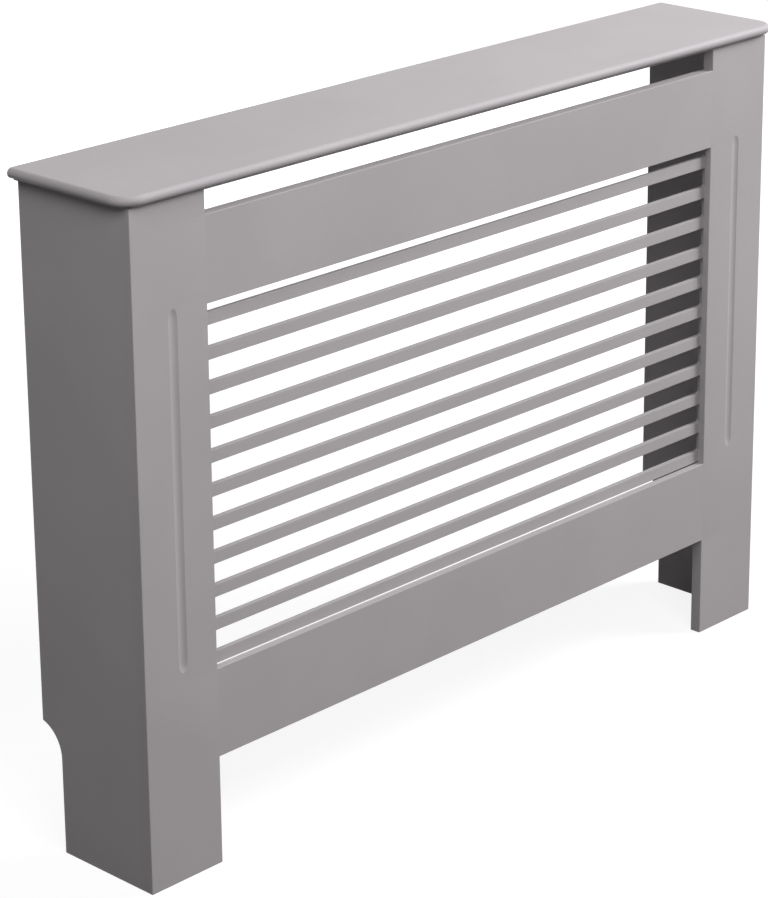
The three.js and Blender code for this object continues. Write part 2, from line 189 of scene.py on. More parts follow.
# Edges painted lighter in patches: partly wear, partly a painted highlight along the rounded arrises
WEAR_HIGHLIGHT_WIDTH = 0.9 * MM
WEAR_HIGHLIGHT_LIMITS = (0.01, 0.16)
WEAR_HIGHLIGHT_SHARE = 0.25
CUT_EDGE_TURN = 1.4
CUT_EDGE_DULLNESS = 0.1
CUT_FIBRE = {"scale": 2600, "detail": 3, "roughness": 0.7}
CUT_FIBRE_BUMP = {"strength": 0.3, "distance": 0.05 * MM}

BEECH_LIGHT = (0.66, 0.44, 0.25, 1)
BEECH_DARK = (0.47, 0.28, 0.14, 1)
BEECH_FIGURE = {"scale": 900, "detail": 4}
BEECH_RAYS = {"scale": 3500, "detail": 1}
BEECH_RAY_LIMITS = (0.62, 0.7)
BEECH_RAY_DARKNESS = 0.4
BEECH_BUMP = {"strength": 0.35, "distance": 0.05 * MM}
BEECH_ROUGHNESS = (0.72, 0.6)
GRAIN_STRETCH = 0.06

ZINC_LIGHT = (0.62, 0.62, 0.63, 1)
ZINC_DARK = (0.43, 0.43, 0.44, 1)
ZINC_GRAIN = {"scale": 2400, "detail": 3, "roughness": 0.65}
ZINC_BLOOM = {"scale": 260, "detail": 3}
ZINC_RUBBED_WIDTH = 0.35 * MM
ZINC_RUBBED_LIMITS = (0.02, 0.25)
ZINC_RUBBED_SHINE = 0.15
ZINC_BUMP = {"strength": 0.4, "distance": 0.04 * MM}
ZINC_ROUGHNESS = (0.4, 0.56)

PLATING_LIGHT = (0.52, 0.53, 0.54, 1)
PLATING_WARM = (0.47, 0.455, 0.40, 1)
PLATING_PATCHES = {"scale": 190, "detail": 3}
PLATING_PATCH_LIMITS = (0.42, 0.68)
PLATING_STREAKS = {"scale": 1500, "detail": 2, "stretch": (1, 1, 0.15)}
PLATING_BUMP = {"strength": 0.2, "distance": 0.02 * MM}
PLATING_ROUGHNESS = (0.32, 0.46)

# ---- Floor, background and lights ----

WHITE = (1, 1, 1, 1)
FLOOR_HALF = 9.0
FLOOR_DROP = 0.1 * MM
FLOOR_GLOW_REACH = (0.9, 2.4)  # the distances from the object between which the glow rises
FLOOR_GLOW = (0.87, 1.0)
FLOOR_SHOWN = 0.2
FLOOR_BOUNCE = 0.12
AMBIENT = (1.0, 0.955, 0.975, 1)
AMBIENT_LEVEL = 0.03

# Each softbox: its name, its place, the point it faces, its width and height, and its power in watts.
SOFTBOXES = (
    ("key", (2.6, -1.7, 2.4), (0.15, 0, 0.5), 1.5, 1.5, 132),
    ("front fill", (-1.3, -2.5, 2.6), (-0.3, 0, 0.5), 1.5, 1.5, 50),
    ("side fill", (-1.7, -0.7, 2.3), (-0.5, 0, 0.4), 1.0, 1.0, 18),
    ("lid light", (0.6, 0.15, 1.85), (0.6, 0.151, 0), 0.9, 0.45, 4.4),
    ("back light", (2.2, 2.6, 0.42), (0, 0, 0.42), 1.8, 0.6, 40),
)

# ---- The photograph's frame in pixels, and the view that its edges give ----

IMAGE_WIDTH = 768
IMAGE_HEIGHT = 898
FOCAL_PIXELS = 3095.9
CENTRE_PIXEL = (384.0, 300.0)
CAMERA_PLACE = (-2.59373, -2.43263, 1.69282)
VIEW_TURN = (1.761228, -0.757244, 0.540431)
SENSOR = 36.0

# ---- Hands, rails, directions and boxes ----

HANDS = (("left", -1), ("right", 1))
RAILS = ("top_rail", "bottom_rail")
ALONG_X, ALONG_Y, ALONG_Z = 0, 1, 2
BACKWARD = Vector((0, 1, 0))
FORWARD = Vector((0, -1, 0))
DOWNWARD = Vector((0, 0, -1))
UPWARD = Vector((0, 0, 1))

lid_low, lid_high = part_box("lid")
stile_low, stile_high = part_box("right_stile")
side_low, side_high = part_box("right_side_panel")
grille_low, grille_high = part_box("slatted_grille")
top_rail_low, top_rail_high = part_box("top_rail")
bottom_rail_low, bottom_rail_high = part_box("bottom_rail")

front_y = stile_low.y
frame_back = stile_high.y
lid_underside = stile_high.z
opening_half = stile_low.x
body_half = stile_high.x
side_inner = side_low.x
back_y = side_high.y


# ---- Materials ----

class Nodes:
    """A tree of nodes that grows node by node."""

    def __init__(self, tree):
        self.tree = tree

    def add(self, kind, inputs=None, **settings):
        """A new node with settings of its own; its inputs are values or other nodes' outputs."""
        node = self.tree.nodes.new("ShaderNode" + kind)
        for key, value in settings.items():
            setattr(node, key, value)
        for key, value in (inputs or {}).items():
            self.feed(node.inputs[key], value)
        return node

    def feed(self, socket, value):
        if isinstance(value, bpy.types.NodeSocket):
            self.tree.links.new(value, socket)
        else:
            socket.default_value = value

    def spread(self, value, low, high, to_low=0.0, to_high=1.0):
        """Takes the range from low to high to the other range, and goes no further."""
        inputs = {0: value, 1: low, 2: high, 3: to_low, 4: to_high}
        return self.add("MapRange", inputs, clamp=True).outputs[0]

    def calculate(self, operation, first, second):
        return self.add("Math", {0: first, 1: second}, operation=operation).outputs[0]

    def plus(self, first, second):
        return self.calculate("ADD", first, second)

    def minus(self, first, second):
        return self.calculate("SUBTRACT", first, second)

    def times(self, first, second):
        return self.calculate("MULTIPLY", first, second)

    def larger(self, first, second):
        return self.calculate("MAXIMUM", first, second)

    def shown_directly(self):
        """1 for what the camera, a reflection or glass shows, and 0 for what lights the object."""
        rays = self.add("LightPath").outputs
        seen = self.larger(rays["Is Camera Ray"], rays["Is Glossy Ray"])
        return self.larger(seen, rays["Is Transmission Ray"])


class Recipe(Nodes):
    """A material's nodes, which read the piece's own coordinates."""

    def __init__(self, name):
        self.material = bpy.data.materials.new(name)
        self.material.use_nodes = True
        super().__init__(self.material.node_tree)
        self.shader = self.tree.nodes["Principled BSDF"]
        self.coordinates = self.add("TexCoord").outputs["Object"]

    def noise(self, scale, detail, roughness=0.5, stretch=(1, 1, 1)):
        """A cloudy pattern; a small stretch draws it out along that axis."""
        spread = self.add("Mapping", {"Vector": self.coordinates, "Scale": stretch})
        inputs = {"Vector": spread.outputs[0], "Scale": scale, "Detail": detail, "Roughness": roughness}
        return self.add("TexNoise", inputs).outputs[0]

    def blend(self, share, first, second):
        """A colour between two colours."""
        mix = self.add("Mix", data_type="RGBA")
        self.feed(mix.inputs[0], share)
        self.feed(mix.inputs[6], first)
        self.feed(mix.inputs[7], second)
        return mix.outputs[2]

    def bump(self, height, strength, distance, under=None):
        inputs = {"Height": height, "Strength": strength, "Distance": distance}
        if under is not None:
            inputs["Normal"] = under
        return self.add("Bump", inputs).outputs[0]

    def edges(self, radius, low, high):
        """A mask that is 1 along convex and concave edges, and 0 on the flat."""
        rounded = self.add("Bevel", {"Radius": radius}, samples=EDGE_SAMPLES).outputs[0]
        true = self.add("NewGeometry").outputs["True Normal"]
        same = self.add("VectorMath", {0: rounded, 1: true}, operation="DOT_PRODUCT").outputs["Value"]
        return self.spread(self.minus(1.0, same), low, high)

    def finish(self, **inputs):
        """The material, once its shader's inputs are set: an underscore stands for a space."""
        for key, value in inputs.items():
            self.feed(self.shader.inputs[key.replace("_", " ")], value)
        return self.material


def satin_paint():
    """Sprayed satin paint on MDF: orange peel on the faces, raised fibre on the cut edges, and edges painted
    lighter in patches, partly as wear and partly as a painted highlight.
    """
    paint = Recipe("grey satin paint on MDF")
    cloud = paint.noise(**PAINT_CLOUD)
    fleck = paint.noise(**PAINT_FLECK)
    clouded = paint.spread(cloud, *NOISE_NARROW, 0, PAINT_CLOUD_SHARE)
    flecked = paint.spread(fleck, *NOISE_WIDE, 0, PAINT_FLECK_SHARE)
    colour = paint.blend(paint.plus(clouded, flecked), PAINT_DARK, PAINT_LIGHT)
    patchy = paint.spread(paint.noise(**PAINT_PATCHES), *PAINT_PATCH_LIMITS)
    # Lighter paint along the edges, in patches: partly worn paint, partly a painted highlight
    edge_wear_and_highlight = paint.times(paint.edges(WEAR_HIGHLIGHT_WIDTH, *WEAR_HIGHLIGHT_LIMITS), patchy)
    colour = paint.blend(paint.times(edge_wear_and_highlight, WEAR_HIGHLIGHT_SHARE), colour, PAINT_WEAR_AND_HIGHLIGHT)
    cut_edge = paint.add("Attribute", attribute_name="cut_edge").outputs["Fac"]
    peel = paint.spread(paint.noise(**PAINT_PEEL), *NOISE_WIDE)
    fibre = paint.times(paint.noise(**CUT_FIBRE), cut_edge)
    normal = paint.bump(peel, **PAINT_PEEL_BUMP)
    normal = paint.bump(fibre, **CUT_FIBRE_BUMP, under=normal)
    sheen = paint.spread(fleck, *NOISE_WHOLE, *PAINT_ROUGHNESS)
    rough = paint.plus(paint.times(cut_edge, CUT_EDGE_DULLNESS), sheen)
    return paint.finish(
        Base_Color=colour, Roughness=rough, Normal=normal, IOR=PAINT_IOR, Specular_IOR_Level=PAINT_SPECULAR
    )


def beech(grain):
    """Bare beech with its grain along X, Y or Z, flecked with short dark rays."""
    stretch = [1.0, 1.0, 1.0]
    stretch["XYZ".index(grain)] = GRAIN_STRETCH
    wood = Recipe("bare beech, grain along " + grain)
    figure = wood.spread(wood.noise(**BEECH_FIGURE, stretch=stretch), *NOISE_NARROW)
    rays = wood.spread(wood.noise(**BEECH_RAYS, stretch=stretch), *BEECH_RAY_LIMITS)
    tone = wood.minus(figure, wood.times(rays, BEECH_RAY_DARKNESS))
    return wood.finish(
        Base_Color=wood.blend(tone, BEECH_DARK, BEECH_LIGHT),
        Roughness=wood.spread(figure, 0, 1, *BEECH_ROUGHNESS),
        Normal=wood.bump(figure, **BEECH_BUMP),
    )


def cast_zinc():
    """Dull die-cast zinc, with the fine grain of the mould and brighter worn edges."""
    metal = Recipe("die-cast zinc")
    grain = metal.noise(**ZINC_GRAIN)
    bloom = metal.spread(metal.noise(**ZINC_BLOOM), *NOISE_NARROW)
    bright = metal.edges(ZINC_RUBBED_WIDTH, *ZINC_RUBBED_LIMITS)
    dull = metal.spread(grain, *NOISE_WIDE, *ZINC_ROUGHNESS)
    return metal.finish(
        Base_Color=metal.blend(metal.larger(bloom, bright), ZINC_DARK, ZINC_LIGHT),
        Metallic=1.0,
        Roughness=metal.minus(dull, metal.times(bright, ZINC_RUBBED_SHINE)),
        Normal=metal.bump(grain, **ZINC_BUMP),
    )


def zinc_plating():
    """Bright zinc plating on steel, with a faint straw tint in patches."""
    metal = Recipe("zinc-plated steel")
    tint = metal.spread(metal.noise(**PLATING_PATCHES), *PLATING_PATCH_LIMITS)
    streak = metal.noise(**PLATING_STREAKS)
    return metal.finish(
        Base_Color=metal.blend(tint, PLATING_LIGHT, PLATING_WARM),
        Metallic=1.0,
        Roughness=metal.spread(streak, *NOISE_WIDE, *PLATING_ROUGHNESS),
        Normal=metal.bump(streak, **PLATING_BUMP),
    )


# ---- Ways of modelling ----

def pick_only(*objects):
    bpy.ops.object.select_all(action="DESELECT")
    for obj in objects:
        obj.select_set(True)
    bpy.context.view_layer.objects.active = objects[0]


def settle(obj):
    """Puts the piece's place into its mesh."""
    pick_only(obj)
    bpy.ops.object.transform_apply(location=True, rotation=True, scale=True)
    return obj


def block(name, low, high):
    """A block between two corners."""
    low, high = Vector(low), Vector(high)
    bpy.ops.mesh.primitive_cube_add(size=1, location=(low + high) / 2)
    obj = bpy.context.object
    obj.name = name
    obj.scale = high - low
    return settle(obj)


def rod(name, radius, foot, tip, sides=HOLE_SIDES):
    """A round bar between two points."""
    along = tip - foot
    turn = along.to_track_quat("Z", "Y").to_euler()
    bpy.ops.mesh.primitive_cylinder_add(
        vertices=sides, radius=radius, depth=along.length, location=(foot + tip) / 2, rotation=turn
    )
    obj = bpy.context.object
    obj.name = name
    return settle(obj)


@contextmanager
def edit(obj, element):
    """Edit mode on one piece, with nothing selected at first."""
    pick_only(obj)
    bpy.ops.object.mode_set(mode="EDIT")
    bpy.ops.mesh.select_mode(type=element)
    bpy.ops.mesh.select_all(action="DESELECT")
    yield
    bpy.ops.object.mode_set(mode="OBJECT")


def choose(obj, kind, rule):
    """Selects the verts, edges or faces that the rule holds for, and nothing else."""
    bpy.ops.mesh.select_all(action="DESELECT")
    mesh = bmesh.from_edit_mesh(obj.data)
    mesh.normal_update()
    for element in getattr(mesh, kind):
        if rule(element):
            element.select_set(True)
    bmesh.update_edit_mesh(obj.data)


def middle(edge):
    return (edge.verts[0].co + edge.verts[1].co) / 2


def near(value, target, room=SAME_PLACE):
    return abs(value - target) < room


def is_sharp(edge):
    return edge.is_manifold and edge.calc_face_angle() > SHARP_ANGLE


def soften(obj, width, rule, steps=ARRIS_STEPS):
    """Rounds the sharp edges whose middle the rule holds for."""
    with edit(obj, "EDGE"):
        choose(obj, "edges", lambda edge: is_sharp(edge) and rule(middle(edge)))
        bpy.ops.mesh.bevel(offset=width, segments=steps, profile=0.5, affect="EDGES", clamp_overlap=False)


def ring_cut(obj, point, normal, fill=False, clear=False):
    """Cuts the whole piece along a plane, and on request takes away what lies on the normal's side."""
    with edit(obj, "VERT"):
        bpy.ops.mesh.select_all(action="SELECT")
        bpy.ops.mesh.bisect(
            plane_co=point, plane_no=normal, use_fill=fill, clear_outer=clear, threshold=CUT_ROOM
        )


def combine(obj, tool, operation="DIFFERENCE"):
    """Cuts the tool out of the piece, or joins it on, and throws the tool away."""
    pick_only(obj)
    boolean = obj.modifiers.new("combine", "BOOLEAN")
    boolean.operation = operation
    boolean.solver = "EXACT"
    boolean.object = tool
    bpy.ops.object.modifier_apply(modifier=boolean.name)
    bpy.data.objects.remove(tool)


def tidy(obj, distance=MERGE_ROOM):
    """Merges doubled corners and turns all faces outwards."""
    with edit(obj, "VERT"):
        bpy.ops.mesh.select_all(action="SELECT")
        bpy.ops.mesh.remove_doubles(threshold=distance)
        bpy.ops.mesh.normals_make_consistent(inside=False)


def join_flat_faces(obj):
    """Takes out the edges that cross a flat face, so that a rounding can run over them."""
    with edit(obj, "FACE"):
        bpy.ops.mesh.select_all(action="SELECT")
        bpy.ops.mesh.dissolve_limited(angle_limit=FLAT_ANGLE)


def outline(name, points):
    """A bent line through the points in the XZ plane, drawn by extruding one corner on and on."""
    places = [Vector((x, 0, z)) for x, z in points]
    bpy.ops.mesh.primitive_plane_add(size=MM)
    line = bpy.context.object
    line.name = name
    with edit(line, "VERT"):
        bpy.ops.mesh.select_all(action="SELECT")
        bpy.ops.mesh.merge(type="CENTER")
        bpy.ops.mesh.select_all(action="SELECT")
        bpy.ops.transform.translate(value=places[0])
        for start, end in zip(places, places[1:]):
            bpy.ops.mesh.extrude_region_move(TRANSFORM_OT_translate={"value": end - start})
    return line


def wind(line, sides, rise=0.0, turns=1):
    """Turns a line about the Z axis; with a rise it climbs by that much in each turn."""
    pick_only(line)
    screw = line.modifiers.new("wind", "SCREW")
    screw.steps = screw.render_steps = sides
    screw.screw_offset = rise
    screw.iterations = turns
    bpy.ops.object.modifier_apply(modifier=screw.name)
    tidy(line)
    return line


def thread(core, crest, pitch, foot, top):
    """A screw thread about the Z axis, cut off square at both ends."""
    turns = math.ceil((top - foot) / pitch) + 2
    start = foot - pitch * (1 + THREAD_LEAD / THREAD_SIDES)
    crest_low, crest_high = [start + pitch * share for share in THREAD_CREST]
    tooth = [(core, start), (crest, crest_low), (crest, crest_high), (core, start + pitch)]
    ridge = wind(outline("thread", tooth), THREAD_SIDES, pitch, turns)
    ring_cut(ridge, (0, 0, foot), (0, 0, -1), fill=True, clear=True)
    ring_cut(ridge, (0, 0, top), (0, 0, 1), fill=True, clear=True)
    tidy(ridge)
    return ridge


def cross(name, span, width, low, high, taper):
    """A cross-shaped tool that narrows towards its foot."""
    arms = []
    for reach_x, reach_y in ((span, width), (width, span)):
        arm = block(name, (-reach_x / 2, -reach_y / 2, low), (reach_x / 2, reach_y / 2, high))
        with edit(arm, "FACE"):
            choose(arm, "faces", lambda face: near(face.calc_center_median().z, low))
            bpy.ops.transform.resize(value=(taper, taper, 1), center_override=(0, 0, low))
        arms.append(arm)
    combine(arms[0], arms[1], "UNION")
    return arms[0]


def smooth(obj):
    """Round forms shade as round, and flat faces stay flat up to their rounded edges."""
    pick_only(obj)
    bpy.ops.object.shade_smooth_by_angle(angle=SMOOTH_ANGLE)
    weighted = obj.modifiers.new("weighted", "WEIGHTED_NORMAL")
    weighted.keep_sharp = True
    bpy.ops.object.modifier_apply(modifier=weighted.name)


def place_of(foot, along, across):
    """The place of a form that was modelled about Z at the origin: its Z goes along, its X goes across."""
    third = along.cross(across)
    turn = Matrix((across, third, along)).transposed()
    return Matrix.Translation(foot) @ turn.to_4x4()


def copy_to(model, name, place):
    """A copy with its own mesh."""
    pick_only(model)
    bpy.ops.object.duplicate(linked=False)
    copy = bpy.context.object
    copy.name = name
    copy.matrix_world = place
    return settle(copy)


def hand_over(piece, node, material):
    """The finished piece takes the place of its plain solid."""
    piece.data.materials.clear()
    piece.data.materials.append(material)
    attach(piece, "root")
    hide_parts(node)


# ---- Holes, gathered for each board as its fittings are placed ----

holes = {}


def drill(board, radius, mouth, foot):
    """A round hole in a board, from a little outside its mouth to its foot."""
    outside = (mouth - foot).normalized() * MOUTH
    holes.setdefault(board, []).append((radius, mouth + outside, foot))


def ends(node, along):
    """The two ends of a slender node on its own axis, in the order in which along passes them."""
    low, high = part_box(node)
    half = abs((high - low).dot(along)) / 2
    centre = (low + high) / 2
    return centre - along * half, centre + along * half


# ---- Fittings ----

def bolt_model():
    """A cam bolt: thread, collar, shank, neck and rounded head; the boards meet at Z = 0."""
    core = BOLT_CORE_RADIUS * CORE_SHARE
    core_foot = -BOLT_THREAD_LENGTH / 2
    head_low = CAM_REACH - BOLT_HEAD_LENGTH / 2
    head_high = CAM_REACH + BOLT_HEAD_LENGTH / 2
    body = wind(
        outline("cam_bolt", [
            (0, core_foot),
            (core, core_foot),
            (core, 0),
            (BOLT_COLLAR_RADIUS - BOLT_COLLAR_CHAMFER, 0),
            (BOLT_COLLAR_RADIUS, BOLT_COLLAR_CHAMFER),
            (BOLT_COLLAR_RADIUS, BOLT_COLLAR_LENGTH - BOLT_COLLAR_CHAMFER),
            (BOLT_COLLAR_RADIUS - BOLT_COLLAR_CHAMFER, BOLT_COLLAR_LENGTH),
            (BOLT_SHANK_RADIUS, BOLT_COLLAR_LENGTH),
            (BOLT_SHANK_RADIUS, head_low - BOLT_HEAD_LENGTH),
            (BOLT_NECK_RADIUS, head_low - BOLT_HEAD_LENGTH / 2),
            (BOLT_NECK_RADIUS, head_low),
            (BOLT_HEAD_RADIUS - BOLT_HEAD_ROUNDING, head_low),
            (BOLT_HEAD_RADIUS, head_low + BOLT_HEAD_ROUNDING),
            (BOLT_HEAD_RADIUS, head_high - BOLT_HEAD_ROUNDING),
            (BOLT_HEAD_RADIUS - BOLT_HEAD_ROUNDING, head_high),
            (0, head_high),
        ]),
        BOLT_SIDES,
    )
    ridge = thread(BOLT_CORE_RADIUS, BOLT_THREAD_RADIUS, BOLT_PITCH, -BOLT_THREAD_LENGTH, -BOLT_THREAD_GAP)
    combine(body, ridge, "UNION")
    return body


def lock_model():
    """A cam lock: a drum with a cross slot in its face and a channel that takes the bolt's head from -X."""
    low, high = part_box("left_side_upper_cam_lock")
    height = high.x - low.x
    drum = wind(
        outline("cam_lock", [
            (0, -height),
            (LOCK_RADIUS - LOCK_RIM, -height),
            (LOCK_RADIUS, -height + LOCK_RIM),
            (LOCK_RADIUS, -LOCK_RIM),
            (LOCK_RADIUS - LOCK_RIM, 0),
            (0, 0),
        ]),
        LOCK_SIDES,
    )
    slot = cross("lock_slot", LOCK_SLOT_SPAN, LOCK_SLOT_WIDTH, -LOCK_SLOT_DEPTH, MOUTH, LOCK_SLOT_TAPER)
    combine(drum, slot)
    axis = Vector((0, 0, -LOCK_AXIS_DEPTH))
    reach = Vector((2 * LOCK_RADIUS, 0, 0))
    stop = Vector((BOLT_HEAD_LENGTH / 2 + SPARE_DEPTH, 0, 0))
    channel = rod("channel", BOLT_HEAD_RADIUS + FIT_ROOM, axis - reach, axis + stop, CHANNEL_SIDES)
    combine(drum, channel)
    return drum


def dowel_model():
    """A fluted dowel with chamfered ends, standing on Z = 0."""
    low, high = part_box("left_lid_front_dowel")
    length = high.z - low.z
    foot = Vector((0, 0, DOWEL_CHAMFER))
    tip = Vector((0, 0, length - DOWEL_CHAMFER))
    sides = DOWEL_FLUTES * FLUTE_SIDES
    dowel = rod("dowel", DOWEL_RADIUS, foot, tip, sides)

    def is_in_a_flute(vert):
        side = round(math.atan2(vert.co.y, vert.co.x) / math.tau * sides)
        return side % FLUTE_SIDES == 0

    with edit(dowel, "VERT"):
        choose(dowel, "verts", is_in_a_flute)
        narrow = 1 - FLUTE_DEPTH / DOWEL_RADIUS
        bpy.ops.transform.resize(value=(narrow, narrow, 1), center_override=(0, 0, 0))
    with edit(dowel, "FACE"):
        choose(dowel, "faces", lambda face: abs(face.normal.z) > SQUARE_ON)
        bpy.ops.mesh.inset(thickness=DOWEL_CHAMFER, depth=DOWEL_CHAMFER, use_individual=True)
    return dowel


def screw_model(length):
    """A pan-head screw with a cross recess; the seat of its head is at Z = 0 and its point is down."""
    crown = SCREW_HEAD_HEIGHT
    core = SCREW_CORE_RADIUS * CORE_SHARE
    shank = [
        (0, -length),
        (core, -length + SCREW_POINT),
        (core, -SCREW_NECK_FOOT),
        (SCREW_NECK_RADIUS, -SCREW_NECK_TOP),
        (SCREW_NECK_RADIUS, 0),
    ]
    head = [(SCREW_HEAD_RADIUS * across, crown * up) for across, up in SCREW_HEAD_SHAPE]
    body = wind(outline("screw", shank + head), SCREW_SIDES)
    recess = cross("recess", RECESS_SPAN, RECESS_WIDTH, crown - RECESS_DEPTH, crown + MOUTH, RECESS_TAPER)
    combine(body, recess)
    thread_foot = -length + SCREW_POINT * SCREW_POINT_BARE
    ridge = thread(SCREW_CORE_RADIUS, SCREW_RADIUS, SCREW_PITCH, thread_foot, -SCREW_THREAD_TOP)
    combine(body, ridge, "UNION")
    return body


def add_cams(steel, zinc):
    """Each bolt is screwed into one board, and its lock sits in the face of the other."""
    bolt = bolt_model()
    lock = lock_model()
    smooth(bolt)
    smooth(lock)
    for hand, sign in HANDS:
        inward = Vector((-sign, 0, 0))
        stile, side = f"{hand}_stile", f"{hand}_side_panel"
        cams = [(f"{hand}_{rail}", inward, BACKWARD, stile, rail) for rail in RAILS]
        cams += [(f"{hand}_side_{level}", BACKWARD, inward, stile, side) for level in ("upper", "lower")]
        cams += [(f"{hand}_lid_{level}", DOWNWARD, inward, "lid", side) for level in ("front", "rear")]
        for name, into, face, thread_board, lock_board in cams:
            thread_end, _ = ends(name + "_cam_bolt", into)
            joint = thread_end + into * BOLT_THREAD_LENGTH
            lock_foot, lock_face = ends(name + "_cam_lock", face)
            drill(thread_board, BOLT_THREAD_RADIUS + FIT_ROOM, joint, thread_end - into * SPARE_DEPTH)
            drill(lock_board, BOLT_COLLAR_RADIUS + FIT_ROOM, joint, joint + into * CAM_REACH)
            drill(lock_board, LOCK_RADIUS + FIT_ROOM, lock_face, lock_foot - face * FIT_ROOM)
            bolt_place = place_of(joint, into, face)
            lock_place = place_of(lock_face, face, into)
            hand_over(copy_to(bolt, name + "_bolt", bolt_place), name + "_cam_bolt", steel)
            hand_over(copy_to(lock, name + "_lock", lock_place), name + "_cam_lock", zinc)
    bpy.data.objects.remove(bolt)
    bpy.data.objects.remove(lock)


def add_dowels(woods):
    """Each dowel stands half in one board and half in the other, with the wood whose grain runs along it."""
    dowel = dowel_model()
    smooth(dowel)
    for hand, sign in HANDS:
        inward = Vector((-sign, 0, 0))
        stile, side = f"{hand}_stile", f"{hand}_side_panel"
        levels = ("upper", "lower")
        dowels = [
            (f"{hand}_{rail}_{level}", inward, BACKWARD, (stile, rail), "X")
            for rail in RAILS for level in levels
        ]
        dowels += [(f"{hand}_side_{level}", BACKWARD, UPWARD, (stile, side), "Y") for level in levels]
        for level in ("front", "rear"):
            dowels.append((f"{hand}_lid_{level}", UPWARD, BACKWARD, (side, "lid"), "Z"))
        for name, along, across, boards, grain in dowels:
            foot, tip = ends(name + "_dowel", along)
            for board in boards:
                holes.setdefault(board, []).append(
                    (DOWEL_RADIUS + FIT_ROOM, foot - along * SPARE_DEPTH, tip + along * SPARE_DEPTH)
                )
            piece = copy_to(dowel, name + "_pin", place_of(foot, along, across))
            hand_over(piece, name + "_dowel", woods[grain])
    bpy.data.objects.remove(dowel)


def add_screws(steel):
    """Screws go through the grille's border into the frame, and through each bracket into its side."""
    screws = [(f"grille_{rail}_screw", FORWARD, ("slatted_grille", rail)) for rail in RAILS]
    for hand, sign in HANDS:
        for level in ("upper", "middle", "lower"):
            screws.append((f"{hand}_grille_{level}_screw", FORWARD, ("slatted_grille", f"{hand}_stile")))
        outward = Vector((sign, 0, 0))
        boards = (f"{hand}_wall_bracket", f"{hand}_side_panel")
        screws.append((f"{hand}_bracket_screw", outward, boards))
    models = {}
    for node, into, boards in screws:
        crown, point = ends(node, into)
        length = round((point - crown).length - SCREW_HEAD_HEIGHT, 5)
        if length not in models:
            models[length] = screw_model(length)
            smooth(models[length])
        seat = crown + into * SCREW_HEAD_HEIGHT
        for board in boards:
            drill(board, SCREW_RADIUS + FIT_ROOM, seat, point + into * SPARE_DEPTH)
        across = Matrix.Rotation(SCREW_TURN * len(node), 3, into) @ UPWARD
        piece = copy_to(models[length], node.replace("_screw", "_pan_head"), place_of(seat, -into, across))
        hand_over(piece, node, steel)
    for model in models.values():
        bpy.data.objects.remove(model)


def add_brackets(steel):
    """An angle of bent steel strip: one leg on the side panel, the other flush with the cover's back."""
    for hand, sign in HANDS:
        node = f"{hand}_wall_bracket"
        low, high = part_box(node)
        corner_x = sign * side_inner
        inner_x = corner_x - sign * BRACKET_GAUGE
        inner_y = high.y - BRACKET_GAUGE
        far_x = high.x if sign < 0 else low.x
        strip = block(
            node + "_strip",
            (min(corner_x, inner_x), low.y, low.z),
            (max(corner_x, inner_x), high.y, high.z),
        )
        leg = block("leg", (low.x, inner_y, low.z), high)
        combine(strip, leg, "UNION")
        tidy(strip)
        join_flat_faces(strip)

        def on_the_bend(p):
            return near(p.x, corner_x) and near(p.y, high.y)

        def in_the_bend(p):
            return near(p.x, inner_x) and near(p.y, inner_y)

        def on_a_corner(p):
            return (near(p.x, far_x) or near(p.y, low.y)) and (near(p.z, low.z) or near(p.z, high.z))

        soften(strip, BRACKET_BEND, on_the_bend, BRACKET_BEND_STEPS)
        soften(strip, BRACKET_BEND - BRACKET_GAUGE, in_the_bend, BRACKET_INNER_STEPS)
        soften(strip, BRACKET_CORNER_RADIUS, on_a_corner, BRACKET_CORNER_STEPS)
        soften(strip, BRACKET_ARRIS, lambda p: True, BRACKET_ARRIS_STEPS)
        leg_middle = (high.x - low.x + BRACKET_GAUGE) / 2
        mouth = Vector((sign * (side_inner - leg_middle), high.y, (low.z + high.z) / 2))
        drill(node, BRACKET_HOLE_RADIUS, mouth, mouth + FORWARD * (BRACKET_GAUGE + MOUTH))
        bore_all(strip, node)
        smooth(strip)
        hand_over(strip, node, steel)


# ---- Boards ----

def bore_all(piece, board):
    """Cuts every hole that was gathered for the board."""
    for radius, mouth, foot in holes.get(board, []):
        combine(piece, rod("hole", radius, mouth, foot))


def mark_cut_edges(piece, thin_axis):
    """Says which faces are the board's cut edges, which don't face the way that the board is thin."""
    mark = piece.data.attributes.new("cut_edge", "FLOAT", "FACE")
    for face in piece.data.polygons:
        mark.data[face.index].value = 1.0 - min(1.0, abs(face.normal[thin_axis]) * CUT_EDGE_TURN)


def finish_board(piece, node, thin_axis, paint):
    """The last steps of every board, which is thin along one axis."""
    bore_all(piece, node)
    mark_cut_edges(piece, thin_axis)
    smooth(piece)
    hand_over(piece, node, paint)


